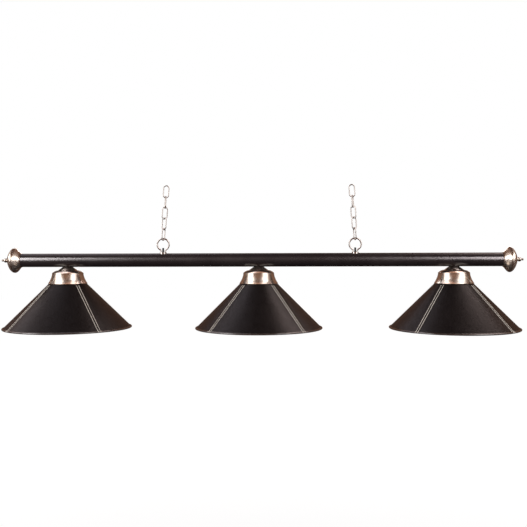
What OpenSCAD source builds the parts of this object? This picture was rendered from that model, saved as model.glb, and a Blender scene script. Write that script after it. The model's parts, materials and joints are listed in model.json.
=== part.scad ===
// Three-shade billiard table lamp: a long round bar hung on two chains, with three
// leather-covered cone shades under it. Millimetres, +Z up, +X along the bar.
// The origin is at the lamp's centre, level with the shade rims.

/* [Bar] */
// Outside diameter of the bar tube
bar_d = 38; // [36:0.5:42]
// Wall thickness of the bar tube
bar_wall = 1.2; // [0.8:0.1:1.6]
// Length of the bar tube
bar_len = 1344; // [1300:2:1600]
// Height of the bar's axis above the shade rims
bar_z = 192; // [192:0.5:200]

/* [End caps] */
// Outside diameter of the flared rim
cap_d = 70.8; // [60:0.2:84]
// Length of the flare, from the tube's end to the rim
cap_flare = 20; // [14:0.5:26]
// Depth of the domed outer face
cap_dome = 18.5; // [12:0.5:22]
// Radius of the flat in the middle of the domed face
cap_flat_r = 13; // [10:0.5:16]
// Thickness of the spun metal
cap_t = 1.1; // [0.8:0.1:1.5]

/* [Shades] */
// Outside diameter of each shade at its rim
shade_d = 355.6; // [352:0.2:362]
// Distance between neighbouring shades
shade_pitch = 541; // [480:1:560]
// Thickness of the steel cone
cone_t = 0.8; // [0.6:0.1:1]
// Thickness of the leather cover
leather_t = 1.2; // [1:0.1:1.4]
// Number of leather panels on each shade
panels = 4; // [3:1:6]
// Width of the groove between two panels
seam_w = 0.8; // [0.4:0.1:1.2]
// Depth of the groove between two panels
seam_deep = 0.45; // [0.2:0.05:0.6]

/* [Fitters] */
// Radius of the fitter cup at its lip
cup_lip_r = 53.9; // [53.9:0.1:55]
// Radius of the fitter cup at its shoulder
cup_shoulder_r = 43; // [40:0.5:46]
// Radius of the fitter cup's flat top
cup_top_r = 27.6; // [27:0.2:32]
// Thickness of the fitter cup
cup_t = 0.9; // [0.7:0.1:1]

/* [Sockets] */
// Inside radius of the screw shell, for a medium screw lamp base
shell_r = 13.3; // [13.2:0.05:13.4]
// Length of the screw shell's wall
shell_len = 24; // [22:0.5:25]
// Radius of the socket body
socket_r = 19.4; // [18.5:0.1:19.8]

/* [Hangers] */
// Distance of each hanger loop from the middle of the bar
loop_x = 269; // [240:1:300]
// Radius of the loop's ring, to the middle of its wire
loop_r = 16.5; // [15:0.5:18]
// Diameter of the loop's wire
loop_wire = 4.2; // [4:0.1:5]
// Diameter of the chain wire
link_wire = 3; // [2.6:0.1:3.2]
// Outside width of a chain link
link_w = 18; // [17:0.5:20]
// Distance between neighbouring links
link_pitch = 30; // [28:0.5:32]
// Turn of each link from the one below, about the chain
link_turn = 72; // [68:1:76]
// Lean of each chain towards the middle of the lamp
chain_lean = 3.75; // [3:0.25:4.5]

/* [Hidden] */
$fn = 96;
left = -1;
centre = 0;
right = 1;
gap = 0.3;              // between pieces that move on each other
fit = 0.05;             // radial clearance between pieces that stay together
over = 1;               // how far a cutting shape runs past what it cuts
bar_r = bar_d / 2;
bar_in = bar_r - bar_wall;
bar_end = bar_len / 2;

// Shade outline. The cone stands at 45 degrees, so radius plus height is the same all along a face.
bead_r = 1.3;                            // the steel cone's rolled edge
roll_r = bead_r + leather_t;             // the leather round that edge
roll_at = [shade_d / 2 - roll_r, roll_r];
roll_proud = 2.1;                        // how far the rolled edge stands out from the cone
slant = sqrt(2);
leather_out = roll_at[0] + roll_at[1] + (roll_r - roll_proud) * slant;
steel_out = leather_out - leather_t * slant;
steel_in = steel_out - cone_t * slant;
steel_mid = (steel_out + steel_in) / 2;
hem_in = steel_in - leather_t * slant;
hem_h = 9;                               // height of the leather turned in behind the rim
leather_top_r = 36;
plate_r = 27.3;                          // the cone's flat top plate
plate_z = steel_out - plate_r;
plate_hole_r = socket_r + 1;

// Fitter outline
cup_top_z = bar_z - bar_r - 9.8;
cup_shoulder_z = cup_top_z - 6.7;
cup_lip_z = leather_out - cup_lip_r + cup_t + gap;
cup_lip_h = 1.2;
cup_flare = 1.8;                         // how late the cup flares out, as a power
cup_bulge = 1.8;                         // how full the shoulder is, as a power
cup_steps = 12;
cup_corner = 0.6;                        // how far the shoulder's edge is rounded in
shoulder_run = cup_shoulder_r - cup_corner - cup_top_r;
shoulder_lean = atan(cup_bulge * (cup_top_z - cup_shoulder_z) / shoulder_run);
corner_r = cup_corner / (1 - sin(shoulder_lean));
cup_wall_z = cup_shoulder_z - corner_r * cos(shoulder_lean);
neck_base_r = cup_top_r - 0.4;
neck_rise = 4;                           // how far the neck cap reaches up round the bar
neck_taper = 1.37;
neck_hollow = 4;
neck_hollow_r = 20.3;

// Threaded nipple, M10
nipple_r = 5;
nipple_bore_r = 4;
nipple_top = bar_z - 10;
nipple_bottom = cup_top_z - 12;
nut_h = 4;
nut_flats = 16;
nipple_nut_z = bar_z - 11.2 - nut_h;

// Socket
socket_top = cup_top_z - cup_t;
socket_top_r = 13;
socket_mouth = 106;
shell_top = socket_mouth + 1 + shell_len;
shell_t = 0.6;
floor_z = shell_top + shell_t + 1.6;
wire_room_z = floor_z + 6;
wire_room_r = 8;
shell_hole_r = 7;
contact_r = 1.5;
contact_t = 0.8;
contact_plate_r = 4.5;
contact_tip_r = 2.2;
ring_flange_r = 26;

// Hanger loop
neck_x = 6.2;                            // legs of the loop, from its middle
loop_bend = 4;                           // bend between ring and leg
loop_z = bar_z + 43.5;
bend_x = neck_x + loop_bend;
bend_drop = sqrt(pow(loop_r + loop_bend, 2) - pow(bend_x, 2));
bend_angle = atan(bend_x / bend_drop);
foot_r = 9.5;
foot_h = 2.6;
loop_stud_r = 5;
sleeve_r = 2.7;
sleeve_bore_r = 1.9;
sleeve_top = loop_z - 9.5;
sleeve_bottom = bar_z + 9;
sleeve_flange_h = 1.6;
loop_stud_z = bar_z + 10;
hanger_nut_z = bar_z + 11.2;

// Chain
link_cc = link_pitch + link_wire + gap;  // between the middles of a link's two end wires
link_bend = (link_w - link_wire) / 2;
link_slit = 0.4;                         // the open joint in each link
loop_gap = 0.6;                          // between a ring and its bottom link, wider as the right one is open
chain_foot_z = loop_z + loop_r - (loop_wire + link_wire) / 2 - loop_gap;

// Leads inside the bar
lead_r = 1.1;
lead_pair = 1.3;                         // half the distance between a socket's two leads
block_x = -222;
block_size = [20, 17, 13];
block_pole = 4.5;                        // half the distance between the block's two poles
lane_low = bar_z - 2.5;
lane_high = bar_z + 1.8;
lane_bend = 18;                          // run over which a lead moves out to its pole
block_grip = 7;                          // depth of a lead in the block

// ---- Shared shapes

module hex_nut(h, bore_r) {
    difference() {
        rotate([0, 0, 30]) cylinder(h = h, r = nut_flats / 2 / cos(30), $fn = 6);
        translate([0, 0, -over]) cylinder(h = h + 2 * over, r = bore_r);
    }
}

// Runs along the +X half of the bar, mirrored for the left end.
module at_end(side) {
    translate([0, 0, bar_z]) mirror([side == left ? 1 : 0, 0, 0])
        translate([bar_end, 0, 0]) rotate([0, 90, 0]) children();
}

module at_lamp(place) {
    translate([place * shade_pitch, 0, 0]) children();
}

// Runs in +X from its origin.
module lying(h, r) {
    rotate([0, 90, 0]) cylinder(h = h, r = r);
}

// ---- Bar

module bar_tube() {
    color([0.12, 0.11, 0.11]) difference() {
        translate([-bar_end, 0, bar_z]) lying(bar_len, bar_r);
        translate([-bar_end - over, 0, bar_z]) lying(bar_len + 2 * over, bar_in);
        for (place = [left, centre, right])
            at_lamp(place) translate([0, 0, bar_z - bar_r - over]) cylinder(h = bar_r, r = nipple_r + fit);
        for (side = [left, right])
            translate([side * loop_x, 0, bar_z]) cylinder(h = bar_r + over, r = loop_stud_r + fit);
    }
}

// ---- End caps. Their outlines run from the tube's end outwards.

cap_steps = 12;
cap_top = cap_flare + cap_dome;
cap_start_r = bar_r + 0.4;
cap_bulge = 2.1;                         // how full the domed face is, as a power
spigot_len = 22;
spigot_r = bar_in - fit;
function ease(s) = s * s * (3 - 2 * s);
function cap_outline(t) = concat(
    [for (i = [0 : cap_steps]) let (u = i / cap_steps)
        [cap_start_r - t + (cap_d / 2 - cap_start_r) * ease(u), t + u * (cap_flare - t)]],
    [for (i = [1 : cap_steps]) let (u = i / cap_steps)
        [cap_d / 2 - t - (cap_d / 2 - t - cap_flat_r) * pow(u, cap_bulge), cap_flare + u * (cap_dome - t)]]
);

module end_cap(side) {
    at_end(side) color([0.72, 0.68, 0.63]) difference() {
        rotate_extrude() polygon(concat([[0, -spigot_len], [spigot_r, -spigot_len], [spigot_r, 0]],
            cap_outline(0), [[0, cap_top]]));
        rotate_extrude() polygon(concat([[0, -spigot_len - over], [spigot_r - cap_t, -spigot_len - over],
            [spigot_r - cap_t, cap_t]], cap_outline(cap_t), [[0, cap_top - cap_t]]));
        cylinder(h = cap_top + over, r = stud_r + fit);
    }
}

stud_r = 3;
stud_len = 92;
plug_z = -36;
plug_h = 6;
plug_hole_r = 2.5;
plug_hole_at = 11;
stud_start = plug_z - 4;
module end_stud(side) {
    at_end(side) color([0.6, 0.6, 0.6]) translate([0, 0, stud_start]) cylinder(h = stud_len, r = stud_r);
}

module end_plug(side) {
    at_end(side) color([0.5, 0.5, 0.52]) difference() {
        translate([0, 0, plug_z]) cylinder(h = plug_h, r = bar_in - fit);
        translate([0, 0, plug_z - over]) cylinder(h = plug_h + 2 * over, r = stud_r + fit);
        for (a = [0 : 90 : 270])
            rotate([0, 0, a + 45]) translate([plug_hole_at, 0, plug_z - over])
                cylinder(h = plug_h + 2 * over, r = plug_hole_r);
    }
}

finial_collar_r = 5.6;
finial_collar_h = 2.4;
finial_neck_r = 4.4;
finial_bead_r = 6.2;
finial_stem_r = 2.2;
finial_tip_r = 3.3;
module finial(side) {
    bead_z = cap_top + 8.5;
    tip_z = bead_z + 9;
    bore_h = stud_start + stud_len - cap_top + gap;
    at_end(side) color([0.75, 0.7, 0.65]) difference() {
        union() {
            translate([0, 0, cap_top]) cylinder(h = finial_collar_h, r = finial_collar_r);
            translate([0, 0, cap_top + 2]) cylinder(h = 3, r = finial_neck_r);
            translate([0, 0, bead_z]) sphere(r = finial_bead_r);
            translate([0, 0, bead_z + 4]) cylinder(h = 5, r = finial_stem_r);
            translate([0, 0, tip_z]) sphere(r = finial_tip_r);
        }
        translate([0, 0, cap_top - over]) cylinder(h = bore_h + over, r = stud_r + fit);
    }
}

// ---- Hanger loops

// Each stretch of the loop runs a little way into the next, which is a hair thicker.
module loop_arc(radius, angle, wire_r) {
    rotate_extrude(angle = angle) translate([radius, 0]) circle(r = wire_r, $fn = 48);
}

module hanger_loop(side) {
    leg_bottom = bar_z + bar_r + 0.5;
    bend_z = loop_z - bend_drop;
    wire_r = loop_wire / 2;
    run_in = 0.3;
    ring_run_in = run_in / loop_r * 180 / PI;
    color([0.72, 0.7, 0.68]) translate([side * loop_x, 0, 0]) difference() {
        union() {
            translate([0, 0, loop_z]) rotate([90, 0, 0]) rotate([0, 0, -90 + bend_angle - ring_run_in])
                loop_arc(loop_r, 360 - 2 * (bend_angle - ring_run_in), wire_r);
            for (leg = [-1, 1]) {
                translate([leg * bend_x, 0, bend_z]) rotate([90, 0, 0]) mirror([leg > 0 ? 0 : 1, 0, 0])
                    rotate([0, 0, 90 + bend_angle]) loop_arc(loop_bend, 90 - bend_angle, wire_r + fit);
                translate([leg * neck_x, 0, leg_bottom])
                    cylinder(h = bend_z - leg_bottom + run_in, r = wire_r + 2 * fit, $fn = 48);
            }
            difference() {
                translate([0, 0, bar_z]) cylinder(h = bar_r + foot_h, r = foot_r);
                translate([-foot_r - over, 0, bar_z]) lying(2 * (foot_r + over), bar_r + fit);
            }
            translate([0, 0, loop_stud_z]) cylinder(h = bar_r - 8, r = loop_stud_r);
        }
        translate([0, 0, bar_z]) cylinder(h = bar_r + foot_h + over, r = sleeve_r + fit);
    }
}

module wire_sleeve(side) {
    color([0.08, 0.08, 0.08]) translate([side * loop_x, 0, 0]) difference() {
        union() {
            translate([0, 0, sleeve_bottom]) cylinder(h = sleeve_top - sleeve_bottom, r = sleeve_r);
            translate([0, 0, bar_z + bar_r + foot_h])
                cylinder(h = sleeve_flange_h, r = neck_x - loop_wire / 2 - gap);
        }
        translate([0, 0, sleeve_bottom - over])
            cylinder(h = sleeve_top - sleeve_bottom + 2 * over, r = sleeve_bore_r);
    }
}

module hanger_nuts() {
    color([0.7, 0.7, 0.7]) for (side = [left, right])
        translate([side * loop_x, 0, hanger_nut_z]) hex_nut(nut_h, loop_stud_r + fit);
}

// ---- Chain. Link 1 hangs in the loop's ring, link 5 is the top one.

module link_shape() {
    side_h = link_cc - 2 * link_bend;
    for (up = [0, 1])
        translate([0, 0, link_bend + up * side_h]) rotate([90, 0, 0]) rotate([0, 0, up * 180 + 180])
            rotate_extrude(angle = 180) translate([link_bend, 0]) circle(r = link_wire / 2, $fn = 48);
    translate([link_bend, 0, link_bend]) cylinder(h = side_h, r = link_wire / 2, $fn = 48);
    for (up = [0, 1])
        translate([-link_bend, 0, link_bend + up * (side_h + link_slit) / 2])
            cylinder(h = (side_h - link_slit) / 2, r = link_wire / 2, $fn = 48);
}

module chain_link(side, number) {
    color([0.78, 0.76, 0.73]) translate([side * loop_x, 0, chain_foot_z]) rotate([0, -side * chain_lean, 0])
        translate([0, 0, (number - 1) * link_pitch]) rotate([0, 0, -side * number * link_turn]) link_shape();
}

// ---- Fitters

// The domed shoulder from the flat top's edge, its rounded corner, then the flare down to the lip.
// t is the depth below the outer skin.
function cup_outline(t) = concat(
    [for (i = [0 : cup_steps]) let (s = i / cup_steps, lean = shoulder_lean * pow(s, cup_bulge - 1)) [
        cup_top_r + shoulder_run * s - t * sin(lean),
        cup_top_z - (cup_top_z - cup_shoulder_z) * pow(s, cup_bulge) - t * cos(lean)
    ]],
    [for (i = [1 : 4]) let (lean = shoulder_lean + (90 - shoulder_lean) * i / 4) [
        cup_shoulder_r - corner_r + (corner_r - t) * sin(lean),
        cup_wall_z + (corner_r - t) * cos(lean)
    ]],
    [for (i = [1 : cup_steps]) let (s = i / cup_steps) [
        cup_shoulder_r - t + (cup_lip_r - cup_shoulder_r) * pow(s, cup_flare),
        cup_wall_z - s * (cup_wall_z - cup_lip_z - cup_lip_h)
    ]]
);

module fitter_cup(place) {
    at_lamp(place) color([0.7, 0.64, 0.58]) rotate_extrude() difference() {
        polygon(concat([[nipple_r + fit, cup_lip_z], [nipple_r + fit, cup_top_z]],
            cup_outline(0), [[cup_lip_r - 0.2, cup_lip_z]]));
        polygon(concat([[0, cup_lip_z - over], [0, cup_top_z - cup_t]],
            cup_outline(cup_t), [[cup_lip_r - cup_t, cup_lip_z - over]]));
    }
}

module neck_cap(place) {
    neck_h = bar_z - bar_r + neck_rise - cup_top_z;
    at_lamp(place) color([0.7, 0.64, 0.58]) difference() {
        translate([0, 0, cup_top_z])
            cylinder(h = neck_h, r1 = neck_base_r, r2 = neck_base_r - neck_h * neck_taper);
        translate([0, 0, cup_top_z - over]) cylinder(h = neck_hollow + over, r = neck_hollow_r);
        translate([0, 0, cup_top_z]) cylinder(h = bar_r, r = nipple_r + fit);
        translate([-2 * bar_r, 0, bar_z]) lying(4 * bar_r, bar_r + fit);
    }
}

module nipple(place) {
    at_lamp(place) color([0.75, 0.72, 0.6]) translate([0, 0, nipple_bottom]) difference() {
        cylinder(h = nipple_top - nipple_bottom, r = nipple_r);
        translate([0, 0, -over]) cylinder(h = nipple_top - nipple_bottom + 2 * over, r = nipple_bore_r);
    }
}

module nipple_nuts() {
    color([0.75, 0.72, 0.6]) for (place = [left, centre, right])
        at_lamp(place) translate([0, 0, nipple_nut_z]) hex_nut(nut_h, nipple_r + fit);
}

// ---- Sockets

module socket_body(place) {
    flange_z = plate_z + gap;
    flange_h = 2.5;
    bore_r = shell_r + shell_t + fit;
    at_lamp(place) color([0.1, 0.1, 0.1]) rotate_extrude() polygon([
        [nipple_r + fit, socket_top], [socket_top_r, socket_top], [socket_r, socket_top - 5],
        [socket_r, flange_z + flange_h], [ring_flange_r, flange_z + flange_h],
        [ring_flange_r, flange_z], [socket_r, flange_z],
        [socket_r, socket_mouth + 1], [socket_r - 1, socket_mouth],
        [bore_r + 0.6, socket_mouth], [bore_r, socket_mouth + 0.6],
        [bore_r, floor_z], [contact_r + fit, floor_z],
        [contact_r + fit, wire_room_z], [wire_room_r, wire_room_z],
        [wire_room_r, nipple_bottom - 1], [nipple_r + fit, nipple_bottom - 1]
    ]);
}

module screw_shell(place) {
    at_lamp(place) color([0.8, 0.66, 0.35]) difference() {
        translate([0, 0, socket_mouth + 1]) cylinder(h = shell_len + shell_t, r = shell_r + shell_t);
        translate([0, 0, socket_mouth + 1 - over]) cylinder(h = shell_len + over, r = shell_r);
        cylinder(h = shell_top + shell_t + over, r = shell_hole_r);
    }
}

module centre_contact(place) {
    at_lamp(place) color([0.82, 0.7, 0.4]) union() {
        translate([0, 0, floor_z - contact_t]) cylinder(h = contact_t, r = contact_plate_r);
        translate([0, 0, floor_z - 2 * contact_t]) cylinder(h = 1.5 * contact_t, r = contact_tip_r);
        translate([0, 0, floor_z - contact_t / 2]) cylinder(h = wire_room_z - floor_z + 1.2, r = contact_r);
    }
}

module shade_ring(place) {
    ring_h = 9;
    flange_h = 2;
    grip_r = 23.4;
    groove_r = 2.2;
    top = plate_z - cone_t - gap;
    at_lamp(place) color([0.1, 0.1, 0.1]) difference() {
        union() {
            translate([0, 0, top - flange_h]) cylinder(h = flange_h, r = ring_flange_r);
            translate([0, 0, top - ring_h]) cylinder(h = ring_h, r = grip_r);
        }
        translate([0, 0, top - ring_h - over]) cylinder(h = ring_h + 2 * over, r = socket_r + fit);
        for (a = [0 : 30 : 330])
            rotate([0, 0, a]) translate([grip_r + 0.9, 0, top - ring_h - over])
                cylinder(h = ring_h - flange_h + over, r = groove_r, $fn = 24);
    }
}

// ---- Shades

// The sheet's lower end, square to the cone and level with the middle of the rolled edge.
function sheet_end(sum) = let (half = (sum - roll_at[0] - roll_at[1]) / 2)
    [roll_at[0] + half, roll_at[1] + half];

module rim_roll(r) {
    rotate_extrude() translate(roll_at) circle(r = r, $fn = 48);
}

module steel_cone() {
    rotate_extrude() polygon([
        [plate_hole_r, plate_z], [plate_r, plate_z], sheet_end(steel_out), sheet_end(steel_in),
        [steel_in - plate_z + cone_t, plate_z - cone_t], [plate_hole_r, plate_z - cone_t]
    ]);
    rim_roll(bead_r);
}

module shade_cone(place) {
    at_lamp(place) color([0.93, 0.93, 0.9]) steel_cone();
}

module leather_cover(place) {
    top_z = leather_out - leather_top_r;
    seam_start = roll_proud + roll_r;
    seam_len = (roll_at[0] - leather_top_r) * slant;
    at_lamp(place) color([0.13, 0.12, 0.13]) difference() {
        union() {
            rotate_extrude() polygon([[leather_top_r, top_z], sheet_end(leather_out),
                sheet_end(steel_mid), [steel_mid - top_z, top_z]]);
            rotate_extrude() polygon([sheet_end(steel_mid), sheet_end(hem_in),
                [hem_in - hem_h, hem_h], [steel_mid - hem_h, hem_h]]);
            rim_roll(roll_r);
        }
        steel_cone();
        for (i = [0 : panels - 1])
            rotate([0, 0, (i + 0.5) * 360 / panels])
                translate([leather_out, 0, 0]) rotate([0, -45, 0])
                    translate([-seam_deep, -seam_w / 2, seam_start])
                        cube([over + seam_deep, seam_w, seam_len + over]);
    }
}

// ---- Wiring inside the bar

module lead(points) {
    for (i = [0 : len(points) - 2]) {
        run = points[i + 1] - points[i];
        flat = norm([run[0], run[1]]);
        translate(points[i]) {
            rotate([0, atan2(flat, run[2]), atan2(run[1], run[0])])
                cylinder(h = norm(run), r = lead_r, $fn = 24);
            if (i > 0) sphere(r = lead_r + fit, $fn = 24);
        }
    }
}

// One lead of each lamp, on the given side (-1 or 1) of the bar's middle plane.
module leads(pole) {
    lanes = [[left, lane_low], [centre, lane_low], [right, lane_high]];
    for (lane = lanes) {
        x = lane[0] * shade_pitch;
        to_block = x < block_x ? 1 : -1;
        run = abs(block_x - x) - block_size[0] / 2 + block_grip - gap;
        translate([x, 0, 0]) mirror([to_block > 0 ? 0 : 1, 0, 0]) lead([
            [0, pole * lead_pair, wire_room_z + 2], [0, pole * lead_pair, lane[1]],
            [lane_bend, pole * block_pole, lane[1]], [run, pole * block_pole, lane[1]]
        ]);
    }
}

module black_leads() {
    color([0.06, 0.06, 0.06]) leads(-1);
}

module white_leads() {
    color([0.92, 0.92, 0.9]) leads(1);
}

screw_r = 1.5;
screw_hole_h = 3.2;
screw_h = 2.8;
slot_w = 0.5;
slot_deep = 0.8;
screw_x = 5;                             // from the block's middle
module at_screws() {
    for (x = [-screw_x, screw_x], pole = [-1, 1])
        translate([block_x + x, pole * block_pole, bar_z + block_size[2] / 2 - screw_hole_h]) children();
}

module terminal_block() {
    hole_r = lead_r + fit;
    depth = block_grip;
    color([0.9, 0.9, 0.86]) difference() {
        translate([block_x, 0, bar_z]) cube(block_size, center = true);
        for (pole = [-1, 1]) {
            translate([block_x - block_size[0] / 2 - over, pole * block_pole, lane_low]) rotate([0, 90, 0])
                cylinder(h = depth + over, r = hole_r, $fn = 24);
            for (z = [lane_low, lane_high])
                translate([block_x + block_size[0] / 2 - depth, pole * block_pole, z]) rotate([0, 90, 0])
                    cylinder(h = depth + over, r = hole_r, $fn = 24);
        }
        at_screws() cylinder(h = screw_hole_h + over, r = screw_r + fit, $fn = 24);
    }
}

module terminal_screws() {
    color([0.8, 0.68, 0.38]) at_screws() difference() {
        cylinder(h = screw_h, r = screw_r, $fn = 24);
        translate([-screw_r - over, -slot_w / 2, screw_h - slot_deep])
            cube([2 * (screw_r + over), slot_w, over]);
    }
}

bar_tube();
end_cap(left);  // left_end_cap
end_cap(right);  // right_end_cap
finial(left);  // left_finial
finial(right);  // right_finial
end_plug(left);  // left_end_plug
end_plug(right);  // right_end_plug
end_stud(left);  // left_end_stud
end_stud(right);  // right_end_stud
hanger_loop(left);  // left_hanger_loop
hanger_loop(right);  // right_hanger_loop
wire_sleeve(left);  // left_wire_sleeve
wire_sleeve(right);  // right_wire_sleeve
hanger_nuts();
chain_link(left, 1);  // left_link_1
chain_link(left, 2);  // left_link_2
chain_link(left, 3);  // left_link_3
chain_link(left, 4);  // left_link_4
chain_link(left, 5);  // left_link_5
chain_link(right, 1);  // right_link_1
chain_link(right, 2);  // right_link_2
chain_link(right, 3);  // right_link_3
chain_link(right, 4);  // right_link_4
chain_link(right, 5);  // right_link_5
neck_cap(left);  // left_neck_cap
neck_cap(centre);  // centre_neck_cap
neck_cap(right);  // right_neck_cap
fitter_cup(left);  // left_fitter_cup
fitter_cup(centre);  // centre_fitter_cup
fitter_cup(right);  // right_fitter_cup
nipple(left);  // left_nipple
nipple(centre);  // centre_nipple
nipple(right);  // right_nipple
nipple_nuts();
socket_body(left);  // left_socket_body
socket_body(centre);  // centre_socket_body
socket_body(right);  // right_socket_body
screw_shell(left);  // left_screw_shell
screw_shell(centre);  // centre_screw_shell
screw_shell(right);  // right_screw_shell
centre_contact(left);  // left_centre_contact
centre_contact(centre);  // centre_centre_contact
centre_contact(right);  // right_centre_contact
shade_ring(left);  // left_shade_ring
shade_ring(centre);  // centre_shade_ring
shade_ring(right);  // right_shade_ring
shade_cone(left);  // left_shade_cone
shade_cone(centre);  // centre_shade_cone
shade_cone(right);  // right_shade_cone
leather_cover(left);  // left_leather_cover
leather_cover(centre);  // centre_leather_cover
leather_cover(right);  // right_leather_cover
terminal_block();
terminal_screws();
black_leads();
white_leads();
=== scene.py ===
"""Three-shade billiard table lamp: its looks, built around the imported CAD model.

Metres, +Z up, +X along the bar. Z is 0 at the lowest point of the shades' rims.
"""
import json
import math

import bpy
import numpy as np
from mathutils import Matrix, Vector

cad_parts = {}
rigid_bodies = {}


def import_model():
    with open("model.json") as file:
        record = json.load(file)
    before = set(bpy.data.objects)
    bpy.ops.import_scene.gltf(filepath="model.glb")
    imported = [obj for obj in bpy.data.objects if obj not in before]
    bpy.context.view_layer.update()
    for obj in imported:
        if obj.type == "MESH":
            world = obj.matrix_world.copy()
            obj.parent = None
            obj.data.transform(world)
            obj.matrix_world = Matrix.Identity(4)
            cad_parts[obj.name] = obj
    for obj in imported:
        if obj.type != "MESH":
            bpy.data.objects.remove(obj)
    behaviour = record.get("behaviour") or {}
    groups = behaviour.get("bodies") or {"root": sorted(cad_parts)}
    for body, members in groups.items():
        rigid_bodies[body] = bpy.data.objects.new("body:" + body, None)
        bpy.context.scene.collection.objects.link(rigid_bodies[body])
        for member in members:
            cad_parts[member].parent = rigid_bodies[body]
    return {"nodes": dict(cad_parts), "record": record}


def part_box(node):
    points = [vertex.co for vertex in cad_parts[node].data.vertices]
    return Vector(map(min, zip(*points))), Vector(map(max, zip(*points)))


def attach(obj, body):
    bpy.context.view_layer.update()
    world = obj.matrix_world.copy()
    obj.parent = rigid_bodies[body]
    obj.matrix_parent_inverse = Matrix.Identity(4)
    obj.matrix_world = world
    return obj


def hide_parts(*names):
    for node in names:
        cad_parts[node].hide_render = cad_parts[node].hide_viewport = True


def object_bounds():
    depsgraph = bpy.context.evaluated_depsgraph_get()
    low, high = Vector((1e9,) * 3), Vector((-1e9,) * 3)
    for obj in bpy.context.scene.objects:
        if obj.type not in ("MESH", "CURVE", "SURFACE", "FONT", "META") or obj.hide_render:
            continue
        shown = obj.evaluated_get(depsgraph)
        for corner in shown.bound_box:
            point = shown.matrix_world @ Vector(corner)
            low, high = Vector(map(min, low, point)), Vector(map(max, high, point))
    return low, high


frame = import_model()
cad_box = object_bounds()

MM = 0.001
PLACES = ("left", "centre", "right")


def middle(node):
    """The middle of a CAD node's box."""
    low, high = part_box(node)
    return (low + high) / 2


# ---- Node tools

class Shader:
    """One material's node tree, with its Principled shader ready to be fed."""

    def __init__(self, name):
        self.material = bpy.data.materials.new(name)
        self.material.use_nodes = True
        self.tree = self.material.node_tree
        self.surface = self.tree.nodes["Principled BSDF"]

    def feed(self, socket, value):
        if isinstance(value, bpy.types.NodeSocket):
            self.tree.links.new(value, socket)
        else:
            socket.default_value = value

    def node(self, kind, inputs, **settings):
        made = self.tree.nodes.new("ShaderNode" + kind)
        for key, value in settings.items():
            setattr(made, key, value)
        for key, value in inputs.items():
            self.feed(made.inputs[key], value)
        return made

    def set(self, **values):
        for key, value in values.items():
            self.feed(self.surface.inputs[key.replace("_", " ")], value)
        return self.material

    def maths(self, operation, a, b=0.0):
        return self.node("Math", {0: a, 1: b}, operation=operation).outputs[0]

    def spread(self, value, low, high, to_low=0.0, to_high=1.0):
        """value taken smoothly from low..high to to_low..to_high."""
        ends = {"Value": value, "From Min": low, "From Max": high, "To Min": to_low, "To Max": to_high}
        return self.node("MapRange", ends, interpolation_type="SMOOTHSTEP").outputs["Result"]

    def noise(self, at, scale, detail=2.0, roughness=0.5):
        inputs = {"Vector": at, "Scale": scale, "Detail": detail, "Roughness": roughness}
        return self.node("TexNoise", inputs).outputs["Fac"]

    def mix(self, share, a, b):
        made = self.node("Mix", {}, data_type="RGBA")
        colours = [socket for socket in made.inputs if socket.type == "RGBA"]
        for socket, value in zip([made.inputs[0]] + colours, (share, a, b)):
            self.feed(socket, value)
        return next(socket for socket in made.outputs if socket.type == "RGBA")

    def bump(self, height, strength, distance, under=None):
        inputs = {"Height": height, "Strength": strength, "Distance": distance}
        if under is not None:
            inputs["Normal"] = under
        return self.node("Bump", inputs).outputs["Normal"]

    def place(self):
        """Position in the frame, in metres."""
        return self.node("TexCoord", {}).outputs["Object"]

    def height(self, at):
        return self.node("SeparateXYZ", {0: at}).outputs[2]

    def stretched(self, at, scale):
        return self.node("Mapping", {"Vector": at, "Scale": scale}).outputs[0]

    def lathe(self, axis, fine, around):
        """A place that runs slowly round the piece's own axis and fast across it, as lathe marks do."""
        inner = self.node("TexCoord", {}).outputs["Generated"]
        split = self.node("SeparateXYZ", {0: inner}).outputs
        along, a, b = {"X": (0, 1, 2), "Z": (2, 0, 1)}[axis]
        p = self.maths("SUBTRACT", split[a], 0.5)
        q = self.maths("SUBTRACT", split[b], 0.5)
        squares = [self.maths("MULTIPLY", side, side) for side in (p, q)]
        radius = self.maths("SQRT", self.maths("ADD", *squares))
        turn = self.maths("ARCTAN2", p, q)
        parts = (self.maths("MULTIPLY", radius, fine), self.maths("MULTIPLY", turn, around),
                 self.maths("MULTIPLY", split[along], fine))
        return self.node("CombineXYZ", dict(enumerate(parts))).outputs[0]


def rgb(r, g, b):
    return (r, g, b, 1.0)


def darker(colour, share):
    return rgb(*(share * c for c in colour[:3]))


# ---- Materials

# Next line: heights of the rim's lighter band, which is partly real wear and partly a painted highlight.
WEAR_AND_HIGHLIGHT_FROM, WEAR_AND_HIGHLIGHT_FULL = 5.5 * MM, 1.5 * MM              # heights on the rolled rim
BURNISHED_FROM, BURNISHED_FULL = 6.0 * MM, 4.0 * MM
YELLOW_FROM, YELLOW_FULL = 70 * MM, 150 * MM           # heights inside a shade


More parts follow.
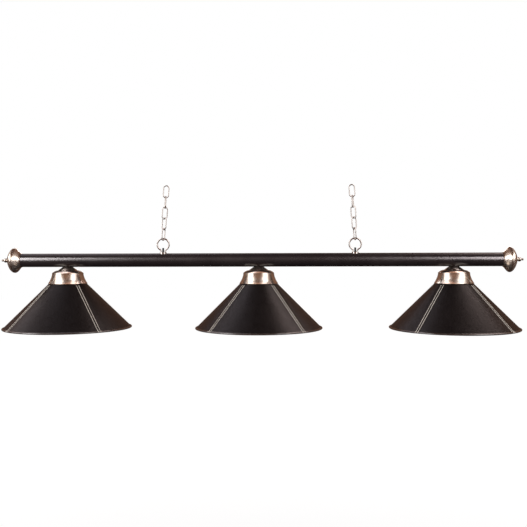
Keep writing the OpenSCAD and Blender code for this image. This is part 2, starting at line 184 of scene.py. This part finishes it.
def black_leather():
    """Smooth-finished black hide: fine pebble grain, soft mottling, and a burnished rim lightened partly by
    wear and partly by a painted highlight.
    """
    m = Shader("black_leather")
    at = m.place()
    wander = m.node("TexNoise", {"Vector": at, "Scale": 500.0, "Detail": 1.0}).outputs["Color"]
    shift = m.node("VectorMath", {0: wander, "Scale": 0.6 * MM}, operation="SCALE").outputs[0]
    warped = m.node("VectorMath", {0: at, 1: shift}, operation="ADD").outputs[0]
    pebbles = m.node("TexVoronoi", {"Vector": warped, "Scale": 1100.0}, feature="DISTANCE_TO_EDGE")
    crown = m.spread(pebbles.outputs["Distance"], 0.02, 0.30)
    patches = m.noise(at, 55.0, 3.0, 0.6)
    mottle = m.spread(m.noise(at, 14.0, 4.0, 0.6), 0.3, 0.7)
    # The rim's lighter, patchy band is partly real wear and partly a painted highlight along the rolled
    # edge.
    wear_and_highlight = m.maths("MULTIPLY", m.spread(m.height(at), WEAR_AND_HIGHLIGHT_FROM, WEAR_AND_HIGHLIGHT_FULL),
                   m.spread(patches, 0.35, 0.75, 0.1, 0.6))
    hide = m.mix(mottle, rgb(0.0032, 0.0028, 0.0034), rgb(0.0058, 0.0046, 0.0050))
    grained = m.mix(crown, rgb(0.0015, 0.0012, 0.0014), hide)
    pitted = m.maths("MULTIPLY", m.maths("SUBTRACT", 1.0, crown), 0.15)
    roughness = m.maths("ADD", m.spread(patches, 0.25, 0.75, 0.26, 0.32), pitted)
    pebbled = m.bump(crown, 0.22, 0.10 * MM)
    burnished = m.spread(m.height(at), BURNISHED_FROM, BURNISHED_FULL)
    # The pale rim colour stands for wear and a painted highlight together.
    return m.set(Base_Color=m.mix(wear_and_highlight, grained, rgb(0.110, 0.098, 0.096)), Roughness=roughness,
                 Coat_Weight=burnished, Coat_Roughness=0.16, Coat_IOR=2.4,
                 Normal=m.bump(m.noise(at, 3800.0), 0.08, 0.04 * MM, pebbled))


def satin_enamel():
    """Baked satin black on the bar: faint orange peel, hairlines along it, and a little dust on top."""
    m = Shader("black_satin")
    at = m.place()
    clouds = m.noise(at, 9.0, 3.0, 0.6)
    streaks = m.noise(m.stretched(at, (6.0, 900.0, 900.0)), 1.0, 2.0, 0.7)
    hairlines = m.spread(streaks, 0.66, 0.74, 0.0, 0.06)
    upward = m.height(m.node("NewGeometry", {}).outputs["Normal"])
    settled = m.spread(m.noise(at, 160.0, 5.0, 0.7), 0.45, 0.80)
    dust = m.maths("MULTIPLY", m.spread(upward, 0.6, 1.0, 0.0, 0.12), settled)
    enamel = m.mix(m.spread(clouds, 0.3, 0.7), rgb(0.0036, 0.0026, 0.0030), rgb(0.0056, 0.0042, 0.0044))
    roughness = m.maths("ADD", m.spread(clouds, 0.25, 0.75, 0.25, 0.30), m.maths("ADD", dust, hairlines))
    return m.set(Base_Color=m.mix(dust, enamel, rgb(0.20, 0.18, 0.16)), Roughness=roughness,
                 Normal=m.bump(m.noise(at, 700.0), 0.04, 0.05 * MM))


def spun_nickel(name, axis, rough):
    """Spun sheet in brushed nickel: fine rings round the lathe axis and a faint warm tarnish."""
    m = Shader(name)
    rings = m.noise(m.lathe(axis, 130.0, 1.5), 1.0, 3.0, 0.65)
    at = m.place()
    clouds = m.noise(at, 45.0, 3.0, 0.6)
    specks = m.spread(m.noise(at, 900.0), 0.70, 0.80, 0.0, 0.10)
    plate = m.mix(m.spread(clouds, 0.3, 0.75), rgb(0.82, 0.755, 0.68), rgb(0.74, 0.665, 0.585))
    streaked = m.mix(m.spread(rings, 0.35, 0.8, 0.0, 0.30), plate, rgb(0.60, 0.53, 0.46))
    roughness = m.maths("ADD", m.spread(rings, 0.25, 0.75, rough, rough + 0.07), specks)
    tangent = m.node("Tangent", {}, direction_type="RADIAL", axis=axis).outputs[0]
    return m.set(Base_Color=streaked, Metallic=1.0, Roughness=roughness, Anisotropic=0.80, Tangent=tangent,
                 Normal=m.bump(rings, 0.05, 0.02 * MM))


def plated(name, rough, tint):
    """Plated wire and turned knobs: bright, with soft dings and a dull bloom in places."""
    m = Shader(name)
    at = m.place()
    bloom = m.noise(at, 90.0, 4.0, 0.65)
    roughness = m.maths("ADD", m.spread(bloom, 0.3, 0.8, rough, rough + 0.10),
                        m.spread(m.noise(at, 2600.0, 2.0, 0.6), 0.4, 0.8, 0.0, 0.04))
    return m.set(Base_Color=m.mix(m.spread(bloom, 0.35, 0.8), tint, darker(tint, 0.80)), Metallic=1.0,
                 Roughness=roughness, Normal=m.bump(m.noise(at, 260.0), 0.12, 0.12 * MM))


def zinc_steel():
    """Zinc-plated fasteners: spangle under a dull yellow-grey cast."""
    m = Shader("zinc_steel")
    at = m.place()
    spangle = m.node("TexVoronoi", {"Vector": at, "Scale": 600.0}).outputs["Color"]
    grey = m.node("SeparateColor", {0: spangle}).outputs[0]
    cast = m.spread(m.noise(at, 120.0, 4.0, 0.6), 0.3, 0.7)
    plate = m.mix(cast, rgb(0.60, 0.60, 0.58), rgb(0.48, 0.47, 0.43))
    return m.set(Base_Color=m.mix(m.maths("MULTIPLY", grey, 0.25), plate, rgb(0.70, 0.71, 0.72)),
                 Metallic=1.0, Roughness=m.spread(grey, 0.0, 1.0, 0.30, 0.44),
                 Normal=m.bump(m.noise(at, 1500.0), 0.15, 0.04 * MM))


def plain_brass():
    """Rolled brass, browned where air has reached it."""
    m = Shader("brass_plain")
    at = m.place()
    tarnish = m.noise(at, 150.0, 5.0, 0.65)
    colour = m.mix(m.spread(tarnish, 0.4, 0.75), rgb(0.80, 0.60, 0.28), rgb(0.48, 0.33, 0.15))
    return m.set(Base_Color=colour, Metallic=1.0, Roughness=m.spread(tarnish, 0.3, 0.8, 0.22, 0.45),
                 Normal=m.bump(m.noise(at, 1800.0), 0.10, 0.03 * MM))


def moulded(name, dark, light, rough):
    """Moulded plastic: flow mottling, a fine moulded skin and a few shinier rubbed spots."""
    m = Shader(name)
    at = m.place()
    flow = m.noise(at, 80.0, 4.0, 0.6)
    return m.set(Base_Color=m.mix(m.spread(flow, 0.3, 0.72), dark, light),
                 Roughness=m.spread(flow, 0.25, 0.8, rough, rough + 0.12),
                 Normal=m.bump(m.noise(at, 1200.0, 3.0), 0.10, 0.05 * MM))


def white_enamel():
    """White baked enamel inside the shades: orange peel, and yellowing towards the heat of the lamp."""
    m = Shader("white_enamel")
    at = m.place()
    clouds = m.noise(at, 12.0, 3.0, 0.6)
    warmth = m.maths("MULTIPLY", m.spread(m.height(at), YELLOW_FROM, YELLOW_FULL),
                     m.spread(clouds, 0.2, 0.9, 0.3, 0.9))
    clean = m.mix(m.spread(clouds, 0.3, 0.7), rgb(0.80, 0.80, 0.775), rgb(0.76, 0.755, 0.725))
    specks = m.spread(m.noise(at, 1300.0, 1.0), 0.76, 0.80, 0.0, 0.35)
    yellowed = m.mix(warmth, clean, rgb(0.74, 0.70, 0.60))
    return m.set(Base_Color=m.mix(specks, yellowed, rgb(0.45, 0.42, 0.38)),
                 Roughness=m.spread(clouds, 0.2, 0.8, 0.26, 0.36),
                 Normal=m.bump(m.noise(at, 420.0), 0.16, 0.10 * MM))


def cream_thread():
    """Waxed thread: fibres along the ply, cream with a few darker strands."""
    m = Shader("cream_thread")
    at = m.place()
    fibres = m.noise(at, 5200.0, 3.0, 0.7)
    soiled = m.spread(m.noise(at, 60.0, 4.0, 0.6), 0.5, 0.85, 0.0, 0.25)
    cream = m.mix(m.spread(fibres, 0.3, 0.75), rgb(0.62, 0.57, 0.50), rgb(0.86, 0.82, 0.75))
    return m.set(Base_Color=m.mix(soiled, cream, rgb(0.42, 0.37, 0.31)), Sheen_Weight=0.2,
                 Roughness=m.spread(fibres, 0.2, 0.8, 0.62, 0.82), Normal=m.bump(fibres, 0.4, 0.08 * MM))


def pale_floor():
    """Pale, dull, barely mottled studio floor. It glows a little, so that it meets the backdrop unseen."""
    m = Shader("pale_floor")
    at = m.place()
    clouds = m.noise(at, 1.5, 4.0, 0.6)
    away = m.node("VectorMath", {0: at}, operation="LENGTH").outputs["Value"]
    far = m.spread(away, 1.0, 6.0)
    near = m.mix(clouds, rgb(0.26, 0.26, 0.26), rgb(0.30, 0.30, 0.295))
    return m.set(Base_Color=m.mix(far, near, rgb(0.0, 0.0, 0.0)),
                 Roughness=m.spread(clouds, 0.2, 0.8, 0.7, 0.85),
                 Emission_Color=m.mix(far, rgb(0.80, 0.80, 0.80), rgb(1.0, 1.0, 1.0)),
                 Emission_Strength=1.0)


MATERIALS = {
    "black_leather": black_leather(),
    "black_satin": satin_enamel(),
    "nickel": spun_nickel("nickel", "Z", 0.16),
    "nickel_caps": spun_nickel("nickel_caps", "X", 0.22),
    "nickel_polished": plated("nickel_polished", 0.09, rgb(0.86, 0.81, 0.75)),
    "chain_nickel": plated("chain_nickel", 0.20, rgb(0.88, 0.86, 0.83)),
    "zinc_steel": zinc_steel(),
    "brass_plain": plain_brass(),
    "black_plastic": moulded("black_plastic", rgb(0.012, 0.012, 0.012), rgb(0.024, 0.023, 0.022), 0.38),
    "socket_phenolic": moulded("socket_phenolic",
                               rgb(0.016, 0.011, 0.009), rgb(0.034, 0.024, 0.019), 0.28),
    "white_enamel": white_enamel(),
    "cream_thread": cream_thread(),
    "white_nylon": moulded("white_nylon", rgb(0.66, 0.65, 0.61), rgb(0.78, 0.77, 0.73), 0.40),
    "black_insulation": moulded("black_insulation",
                                rgb(0.014, 0.014, 0.015), rgb(0.030, 0.029, 0.028), 0.42),
    "white_insulation": moulded("white_insulation", rgb(0.70, 0.70, 0.68), rgb(0.82, 0.81, 0.78), 0.42),
}

FINISH_OF = {}                # the key in MATERIALS of each piece, by its name


def finish_cad_nodes():
    """Gives every CAD node the procedural material of its slot in the record."""
    for part in frame["record"]["subparts"]:
        look = "nickel_caps" if part["node"].endswith("end_cap") else part["material_slot"]
        mesh = frame["nodes"][part["node"]].data
        mesh.materials.clear()
        mesh.materials.append(MATERIALS[look])
        FINISH_OF[part["node"]] = look


# ---- Mesh tools

def mesh_piece(name, points, faces, slot, body):
    """A smooth-shaded piece that rides on a body and takes its finish from a slot."""
    mesh = bpy.data.meshes.new(name)
    mesh.from_pydata(points.reshape(-1, 3).tolist(), [], faces)
    mesh.shade_smooth()
    mesh.materials.append(MATERIALS[slot])
    FINISH_OF[name] = slot
    piece = bpy.data.objects.new(name, mesh)
    bpy.context.scene.collection.objects.link(piece)
    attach(piece, body)
    return piece


def grid_faces(rows, columns, close_rows=False):
    """Quads of a grid of rows that close on themselves. close_rows joins the last row to the first."""
    i, j = np.meshgrid(np.arange(rows if close_rows else rows - 1), np.arange(columns), indexing="ij")
    below, beside = (i + 1) % rows, (j + 1) % columns
    corners = (i * columns + j, below * columns + j, below * columns + beside, i * columns + beside)
    return np.stack(corners, -1).reshape(-1, 4)


def arc(centre, radius, start, end, count):
    """Points on an arc, in degrees, without the first one."""
    angles = np.radians(np.linspace(start, end, count + 1)[1:])
    return np.stack([centre[0] + radius * np.cos(angles), centre[1] + radius * np.sin(angles)], -1)


def smooth(x, low, high):
    """0 at low, 1 at high and smooth between them."""
    t = np.clip((x - low) / (high - low), 0, 1)
    return t * t * (3 - 2 * t)


# ---- Leather covers. A section's points are (u, n), from the middle of the rolled edge: u runs up the
# slope of the cone and n out of it.

SLANT = math.sqrt(2)
LEATHER = 1.2 * MM
STEEL = 0.8 * MM
ROLL_R = 2.5 * MM             # leather round the rolled edge
BEAD_R = ROLL_R - LEATHER     # steel inside it
FACE = 0.4 * MM               # the cover's outer face on the cone
CREASE_R = 1.5 * MM           # where the leather leaves the cone for the roll
HEM = 12.0 * MM               # leather turned in behind the rim
HEM_EDGE = 0.4 * MM
BEAD_START = 250              # where the hidden side starts round the steel, in degrees
CUP_R = 56.0 * MM             # the fitter cup hides the cover inside this radius

# Rows of the mesh along the section
FACE_ROWS = 168
CREASE_ROWS = 6
ROLL_ROWS = 26
HEM_ROWS = 12
HEM_END_ROWS = 4
BEAD_ROWS = 8
BACK_ROWS = 10

# Columns of the mesh: set distances from a seam, close together at its groove and at its stitches, and
# even ones across the rest of a panel
PANELS = 4
SEAM_COLUMNS = MM * np.array([0, 0.2, 0.4, 0.6, 0.85, 1.4, 2.1, 2.7,
                              3.1, 3.5, 3.9, 4.3, 4.9, 5.5, 6.1, 6.8])
SEAM_REACH = 8.0 * MM
PANEL_COLUMNS = 46

# Relief of the face
DOUBLED = 0.24 * MM           # doubled leather along a seam
DOUBLED_OUT = (5.4 * MM, 6.8 * MM)
GROOVE, GROOVE_HALF = 0.70 * MM, 0.5 * MM
PULL, PULL_HALF = 0.15 * MM, 0.55 * MM
SLACK = 0.05 * MM             # waviness of a panel
SLACK_OUT = (4.0 * MM, 12.0 * MM)
CUP_FADE = 6.0 * MM           # the relief fades in below the fitter cup
PLEATS = 46                   # round a hem
PLEAT_DEEP = 0.35 * MM
PLEAT_WANDER = 2.1            # makes their widths uneven
PHASE_STEP = 1.7              # sets the waves of one shade off from the next one's

# Stitches
ROW_OUT = 3.5 * MM            # from a seam to its rows of stitches
STITCH = 6.4 * MM             # from one stitch to the next
STITCH_LEN = 6.1 * MM
STITCH_SLANT = 0.20 * MM
STITCH_POINTS = 9
STITCH_SINK = 0.25 * MM       # a stitch follows the relief no deeper than this
END_LIFT, BOW_LIFT = -0.20, 0.85   # of the thread's radius: sunk ends and a raised middle
LAST_STITCH = 190             # how far round the rolled edge the stitches go, in degrees
START_SPREAD = 0.06 * MM      # how unevenly they are sewn
ROW_SPREAD = 0.05 * MM
FIRST_SEED = 7
THREAD_R = 0.60 * MM
THREAD_SIDES = 9
PLIES, PLY_DEEP, PLY_TWIST = 3, 0.13, 7.0   # the twist is in radians, over one stitch
THREAD_FLAT = 0.85            # height of the thread's section over its width
END_THIN, END_TAPER = 0.45, 8  # a stitch thins to this share over one part in this many of its length


class Cover:
    """The leather on one shade: its section, its relief and where its stitches run."""

    def __init__(self, place, phase):
        self.place, self.phase = place, phase
        low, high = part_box(place + "_leather_cover")
        self.x = (low.x + high.x) / 2
        self.roll_r = (high.x - low.x) / 2 - ROLL_R
        self.roll_z = low.z + ROLL_R
        self.slope_len = (high.z - self.roll_z) * SLANT - FACE
        self.crease_u = math.sqrt((ROLL_R + CREASE_R) ** 2 - (FACE + CREASE_R) ** 2)
        self.meet = math.degrees(math.atan2(FACE + CREASE_R, self.crease_u))
        self.seen, hidden = self.section()
        self.points = np.vstack([self.seen, hidden])
        along = np.roll(self.points, -1, 0) - np.roll(self.points, 1, 0)
        outwards = np.stack([along[:, 1], -along[:, 0]], -1)
        self.normals = outwards / np.linalg.norm(along, axis=1, keepdims=True)
        steps = np.linalg.norm(np.diff(self.seen, axis=0), axis=1)
        self.run = np.concatenate([[0], np.cumsum(steps)])

    def section(self):
        """The seen side from the top edge to the hem's end, then the hidden side that lies on the steel."""
        steel_in = FACE - LEATHER - STEEL
        hem_in = steel_in - LEATHER
        slope = np.linspace(self.slope_len, self.crease_u, FACE_ROWS)
        face = np.stack([slope, np.full(FACE_ROWS, FACE)], -1)
        crease = arc((self.crease_u, FACE + CREASE_R), CREASE_R, 270, 180 + self.meet, CREASE_ROWS)
        roll = arc((0, 0), ROLL_R, self.meet, 270, ROLL_ROWS)
        t = np.linspace(0, 1, HEM_ROWS + 1)[1:]
        hem = np.stack([t * (HEM - HEM_EDGE), -ROLL_R + smooth(t, 0, 0.3) * (hem_in + ROLL_R)], -1)
        hem_end = arc((HEM - HEM_EDGE, hem_in + HEM_EDGE), HEM_EDGE, 270, 360, HEM_END_ROWS)
        sheet_end = math.degrees(math.asin((LEATHER - FACE) / BEAD_R))
        bead = arc((0, 0), BEAD_R, BEAD_START, -sheet_end, BEAD_ROWS)
        slope_back = np.linspace(2 * BEAD_R, self.slope_len, BACK_ROWS)
        back = np.stack([slope_back, np.full(BACK_ROWS, FACE - LEATHER)], -1)
        inside = np.array([(HEM, steel_in), (HEM / 2, steel_in), (0, steel_in)])
        return np.vstack([face, crease, roll, hem, hem_end]), np.vstack([inside, bead, back])

    def relief(self, u, radius, across, angle):
        """How far the face stands out: doubled leather, a seam's groove, the stitches' pull and waves."""
        out = np.abs(across)
        shown = smooth(radius, CUP_R, CUP_R + CUP_FADE) * smooth(u, 0, 2 * self.crease_u)
        doubled = DOUBLED * (1 - smooth(out, *DOUBLED_OUT))
        groove = -GROOVE * np.exp(-(out / GROOVE_HALF) ** 2)
        pulled = -PULL * np.exp(-((out - ROW_OUT) / PULL_HALF) ** 2)
        waves = np.sin(7 * angle + 31 * u + self.phase) * np.sin(43 * u + 3 * angle - self.phase)
        return shown * (doubled + pulled + SLACK * waves * smooth(out, *SLACK_OUT)) + groove

    def radius(self, u, n):
        return self.roll_r + (n - u) / SLANT

    def at(self, u, n, angle):
        radius, height = self.radius(u, n), self.roll_z + (u + n) / SLANT
        return np.stack([self.x + radius * np.cos(angle), radius * np.sin(angle), height], -1)

    def seam_angle(self, seam):
        return (seam + 0.5) * 2 * math.pi / PANELS

    def leather(self):
        """The cover: columns that keep their width along each seam, and even ones across each panel."""
        strip = np.concatenate([[-SEAM_REACH], -SEAM_COLUMNS[:0:-1], SEAM_COLUMNS, [SEAM_REACH]])
        share = np.linspace(0, 1, PANEL_COLUMNS + 2)[1:-1]
        u, n = self.points[:, :1], self.points[:, 1:]
        radius = self.radius(u, n)
        edge = SEAM_REACH / radius
        span = 2 * math.pi / PANELS - 2 * edge
        angles, across = [], []
        for seam in range(PANELS):
            start = self.seam_angle(seam)
            angles += [start + strip / radius, start + edge + share * span]
            across += [strip + 0 * radius, radius * (edge + np.minimum(share, 1 - share) * span)]
        angle, across = np.hstack(angles), np.hstack(across)
        moved = self.relief(u, radius, across, angle)
        moved[len(self.seen) - HEM_END_ROWS:] = 0
        pleats = np.abs(np.sin(PLEATS / 2 * angle + PLEAT_WANDER * np.sin(5 * angle + self.phase)))
        hem = smooth(n, -0.8 * ROLL_R, -ROLL_R) * smooth(u, 0, HEM)
        turned_in = -PLEAT_DEEP * hem * pleats + np.minimum(moved, 0) * smooth(u, HEM, 0)
        moved = np.where(n < 0, turned_in, moved)
        moved[len(self.seen):] = 0
        u = u + moved * self.normals[:, :1]
        n = n + moved * self.normals[:, 1:]
        points = self.at(u, n, angle)
        faces = grid_faces(points.shape[0], points.shape[1], close_rows=True).tolist()
        shade = self.place + "_shade"
        piece = mesh_piece(shade + "_leather", points, faces, "black_leather", shade)
        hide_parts(self.place + "_leather_cover")

    def on_face(self, seam, run, across, lift):
        """Points a distance run down the section from its top edge, and the way out of the leather."""
        u = np.interp(run, self.run, self.seen[:, 0])
        n = np.interp(run, self.run, self.seen[:, 1])
        out_u = np.interp(run, self.run, self.normals[:len(self.seen), 0])
        out_n = np.interp(run, self.run, self.normals[:len(self.seen), 1])
        radius = self.radius(u, n)
        angle = self.seam_angle(seam) + across / radius
        stands = np.maximum(self.relief(u, radius, across, angle), -STITCH_SINK) + lift
        points = self.at(u + stands * out_u, n + stands * out_n, angle)
        return points, self.at(u + out_u, n + out_n, angle) - self.at(u, n, angle)

    def stitching(self):
        """Two rows of stitches along every seam, one each side of it."""
        face_u, face_run = self.seen[:FACE_ROWS, 0], self.run[:FACE_ROWS]
        first = np.interp(CUP_R, self.radius(face_u, FACE), face_run)
        last = (np.interp(-self.crease_u, -face_u, face_run) + CREASE_R * math.radians(90 - self.meet)
                + ROLL_R * math.radians(LAST_STITCH - self.meet))
        count = int((last - first) / STITCH)
        t = np.linspace(0, 1, STITCH_POINTS)
        bow = 1 - (2 * t - 1) ** 4
        lift = (END_LIFT + BOW_LIFT * bow) * THREAD_R
        draw = np.random.default_rng(int(100 * self.phase) + FIRST_SEED)
        paths, ups = [], []
        for seam in range(PANELS):
            for number in range(count):
                start = first + number * STITCH + draw.normal(0, START_SPREAD)
                for side in (-1, 1):
                    across = side * ROW_OUT + STITCH_SLANT * (t - 0.5) * 2 + draw.normal(0, ROW_SPREAD)
                    point, up = self.on_face(seam, start + t * STITCH_LEN, across, lift)
                    paths.append(point)
                    ups.append(up)
        points, faces = threads(np.array(paths), np.array(ups))
        mesh_piece(self.place + "_shade_stitching", points, faces, "cream_thread", self.place + "_shade")


def threads(paths, ups):
    """Short lengths of plied thread along paths of points, each closed at both ends."""
    many, rings = paths.shape[:2]
    along = np.gradient(paths, axis=1)
    along /= np.linalg.norm(along, axis=2, keepdims=True)
    beside = np.cross(along, ups)
    beside /= np.linalg.norm(beside, axis=2, keepdims=True)
    above = np.cross(beside, along)
    turn = np.linspace(0, 2 * math.pi, THREAD_SIDES, endpoint=False)
    t = np.linspace(0, 1, rings)[:, None]
    ply = 1 + PLY_DEEP * np.cos(PLIES * turn - PLY_TWIST * t)
    taper = np.clip(np.minimum(t, 1 - t) * END_TAPER, END_THIN, 1)
    reach = (THREAD_R * ply * taper)[None, :, :, None]
    section = (np.cos(turn)[:, None] * beside[:, :, None]
               + THREAD_FLAT * np.sin(turn)[:, None] * above[:, :, None])
    points = paths[:, :, None] + reach * section
    sides = grid_faces(rings, THREAD_SIDES)
    each = rings * THREAD_SIDES
    walls = (np.arange(many)[:, None, None] * each + sides).reshape(-1, 4).tolist()
    end = np.arange(THREAD_SIDES)
    caps = [(i * each + end[::-1]).tolist() for i in range(many)]
    caps += [((i + 1) * each - THREAD_SIDES + end).tolist() for i in range(many)]
    return points, walls + caps


# ---- Lampholders: the screw shell's rolled thread

THREAD_PITCH = 25.4 * MM / 7  # seven turns to the inch
THREAD_DEEP = 0.32 * MM
SHELL_SHEET = 0.3 * MM
SHELL_HOLE_R = 7 * MM         # in its closed end
SHELL_SIDES = 96
SHELL_ROWS = 84


def screw_shell(place):
    """A brass screw shell with a rolled thread, which takes the place of the plain one."""
    node = place + "_screw_shell"
    low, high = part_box(node)
    centre_x = (low.x + high.x) / 2
    outside = (high.x - low.x) / 2
    turn = np.linspace(0, 2 * math.pi, SHELL_SIDES, endpoint=False)[None, :]
    wall = np.linspace(low.z, high.z - 2 * SHELL_SHEET, SHELL_ROWS)[:, None]
    fade = smooth(wall, low.z + 0.5 * MM, low.z + 3 * MM) * smooth(wall, high.z - 1 * MM, high.z - 3 * MM)
    wave = THREAD_DEEP * fade * np.cos(2 * math.pi * wall / THREAD_PITCH - turn)
    inner = outside - SHELL_SHEET - THREAD_DEEP + wave
    outer = np.minimum(inner + SHELL_SHEET, outside)
    lip = SHELL_HOLE_R + 1 * MM
    end_inside = (inner[-1, 0] - 0.4 * MM, lip, SHELL_HOLE_R)
    end_outside = (SHELL_HOLE_R, lip, outside - 0.8 * MM)
    end = np.array(end_inside + end_outside)[:, None] + 0 * turn
    end_z = np.repeat([high.z - SHELL_SHEET, high.z], len(end_inside))[:, None]
    radius = np.vstack([inner, end, outer[::-1]])
    height = np.vstack([wall, end_z, wall[::-1]]) + 0 * radius
    points = np.stack([centre_x + radius * np.cos(turn), radius * np.sin(turn), height], -1)
    faces = grid_faces(len(points), SHELL_SIDES, close_rows=True)
    piece = mesh_piece(place + "_lampholder_thread", points, faces[:, ::-1].tolist(), "brass_plain", "lamp")
    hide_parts(node)


# ---- Camera, light and floor

CAMERA_AT = (0.0939, -1.9564, 0.2020)
CAMERA_YAW, CAMERA_PITCH, CAMERA_ROLL = 0.0411, -0.0103, 0.0025
CAMERA_LENS = 47.8
FLOOR_DROP = 2.40             # from the lamp's lowest point
FLOOR_HALF = 40.0

WHITE = (1, 1, 1)
BAR, LEATHERS, FITTERS, CAPS = {"black_satin"}, {"black_leather"}, {"nickel"}, {"nickel_caps"}
BRIGHT = set(MATERIALS) - BAR - LEATHERS - CAPS
ALL_BUT_CAPS = set(MATERIALS) - CAPS

# Panels of light: name, azimuth, elevation, distance, size, radiance, colour and the finishes they fall on.
# The photo's narrow highlights on each finish need panels of their own.
SOFTBOXES = (
    ("left_panel", -61, 22, 3.0, (2.1, 3.2), 2.4, WHITE, BRIGHT),
    ("right_panel", 54, 22, 3.0, (2.1, 3.2), 2.0, WHITE, BRIGHT),
    ("left_cap_strip", -60, 17, 3.0, (4.4, 0.9), 6.0, WHITE, CAPS),
    ("right_cap_strip", 60, 17, 3.0, (4.4, 0.9), 6.0, WHITE, CAPS),
    ("back_cap_strip", 180, 17, 3.0, (4.4, 0.9), 4.0, WHITE, CAPS),
    ("left_upper_panel", -68, 62, 3.0, (1.3, 1.6), 1.8, WHITE, FITTERS),
    ("right_upper_panel", 56, 62, 3.0, (1.1, 1.6), 1.6, WHITE, FITTERS),
    ("left_shoulder_panel", -155, 48, 3.0, (1.6, 1.6), 2.4, WHITE, FITTERS),
    ("overhead_panel", 180, 86, 3.0, (3.6, 3.8), 0.40, (1.0, 0.50, 0.30), FITTERS),
    ("left_strip", -40, 17, 3.3, (0.8, 1.9), 40.0, (1.0, 0.94, 0.95), BAR),
    ("right_strip", 35, 17, 3.3, (0.8, 1.9), 32.0, (1.0, 0.90, 0.92), BAR),
    ("left_rim_light", -80, 24, 3.0, (3.4, 1.4), 1.2, (1.0, 0.93, 0.98), LEATHERS),
    ("right_rim_light", 62, 24, 3.0, (3.4, 1.4), 0.9, (1.0, 0.88, 0.86), LEATHERS),
    ("left_low_light", -55, 8, 3.3, (1.6, 1.2), 3.2, WHITE, LEATHERS),
    ("right_low_light", 46, 8, 3.3, (1.6, 1.2), 2.2, WHITE, LEATHERS),
    ("left_back_panel", -128, 52, 3.0, (2.0, 2.0), 1.0, (0.96, 0.90, 1.0), ALL_BUT_CAPS),
    ("right_back_panel", 120, 50, 3.4, (1.6, 1.6), 3.0, (1.0, 0.80, 0.76), ALL_BUT_CAPS),
)

# Plain fills that light everything and show in no metal: name, azimuth and radiance
FILLS = (("front_fill", 0, 1.5), ("back_fill", 180, 1.2))

# What the metal mirrors, from straight down (0) over the horizon (0.5) to straight up (1)
ROOM_COLOURS = (
    (0.00, (0.030, 0.020, 0.016)), (0.46, (0.10, 0.055, 0.040)), (0.55, (0.20, 0.105, 0.070)),
    (0.72, (0.24, 0.120, 0.074)), (0.90, (0.15, 0.080, 0.058)), (1.00, (0.060, 0.038, 0.034)),
)


def camera():
    data = bpy.data.cameras.new("camera")
    data.lens = CAMERA_LENS
    data.sensor_width = 36.0
    data.clip_end = 200.0
    holder = bpy.data.objects.new("camera", data)
    bpy.context.scene.collection.objects.link(holder)
    facing = (Matrix.Rotation(CAMERA_YAW, 3, "Z") @ Matrix.Rotation(CAMERA_PITCH, 3, "X")
              @ Matrix.Rotation(CAMERA_ROLL, 3, "Y"))
    right, forward, up = facing.col
    turned = Matrix((right, up, -forward)).transposed()
    holder.matrix_world = Matrix.Translation(CAMERA_AT) @ turned.to_4x4()
    bpy.context.scene.camera = holder


def softbox(name, azimuth, elevation, distance, size, radiance, colour=WHITE):
    """A panel of light that faces the bar. Azimuth 0 is on the camera's side and grows to the right."""
    data = bpy.data.lights.new(name, "AREA")
    data.shape = "RECTANGLE"
    data.size, data.size_y = size
    data.energy = radiance * math.pi * size[0] * size[1]
    data.color = colour
    panel = bpy.data.objects.new(name, data)
    bpy.context.scene.collection.objects.link(panel)
    a, e = math.radians(azimuth), math.radians(elevation)
    away = Vector((math.sin(a) * math.cos(e), -math.cos(a) * math.cos(e), math.sin(e)))
    panel.location = middle("bar_tube") + distance * away
    panel.rotation_euler = away.to_track_quat("Z", "Y").to_euler()
    panel.visible_camera = False
    return panel


def aim(light, finishes):
    """Lets a light fall only on the pieces with the given finishes."""
    lit = bpy.data.collections.new(light.name + "_falls_on")
    for piece in bpy.data.objects:
        if FINISH_OF.get(piece.name) in finishes:
            lit.objects.link(piece)
    light.light_linking.receiver_collection = lit


def lights():
    for *placing, finishes in SOFTBOXES:
        aim(softbox(*placing), finishes)
    for name, azimuth, radiance in FILLS:
        softbox(name, azimuth, 22, 3.5, (4.0, 3.0), radiance).visible_glossy = False


def room():
    """A white backdrop, and the dim warm room that the metal reflects."""
    world = bpy.data.worlds.new("room")
    world.use_nodes = True
    bpy.context.scene.world = world
    tree = world.node_tree
    tree.nodes.clear()

    def add(kind):
        return tree.nodes.new("ShaderNode" + kind)

    way = add("TexCoord")
    split = add("SeparateXYZ")
    ramp = add("ValToRGB")
    raised = add("MapRange")
    raised.inputs["From Min"].default_value = -1.0
    stops = ramp.color_ramp.elements
    stops.remove(stops[1])
    for number, (at, colour) in enumerate(ROOM_COLOURS):
        stop = stops[0] if number == 0 else stops.new(at)
        stop.position = at
        stop.color = (*colour, 1)
    dim, backdrop, choose = add("Background"), add("Background"), add("MixShader")
    path, out = add("LightPath"), add("OutputWorld")
    backdrop.inputs["Color"].default_value = (1, 1, 1, 1)
    for a, b in ((way.outputs["Generated"], split.inputs[0]), (split.outputs[2], raised.inputs["Value"]),
                 (raised.outputs[0], ramp.inputs[0]), (ramp.outputs[0], dim.inputs["Color"]),
                 (path.outputs["Is Camera Ray"], choose.inputs[0]), (dim.outputs[0], choose.inputs[1]),
                 (backdrop.outputs[0], choose.inputs[2]), (choose.outputs[0], out.inputs[0])):
        tree.links.new(a, b)


def floor():
    mesh = bpy.data.meshes.new("floor")
    corners = [(FLOOR_HALF * x, FLOOR_HALF * y, 0) for x, y in ((-1, -1), (1, -1), (1, 1), (-1, 1))]
    mesh.from_pydata(corners, [], [(0, 1, 2, 3)])
    mesh.materials.append(pale_floor())
    slab = bpy.data.objects.new("floor", mesh)
    bpy.context.scene.collection.objects.link(slab)
    slab.location.z = cad_box[0].z - FLOOR_DROP
    slab.visible_glossy = False


def build():
    bpy.context.scene.view_settings.view_transform = "Standard"
    camera()
    finish_cad_nodes()
    for number, place in enumerate(PLACES):
        cover = Cover(place, PHASE_STEP * number)
        cover.leather()
        cover.stitching()
        screw_shell(place)
    lights()
    room()
    floor()


build()
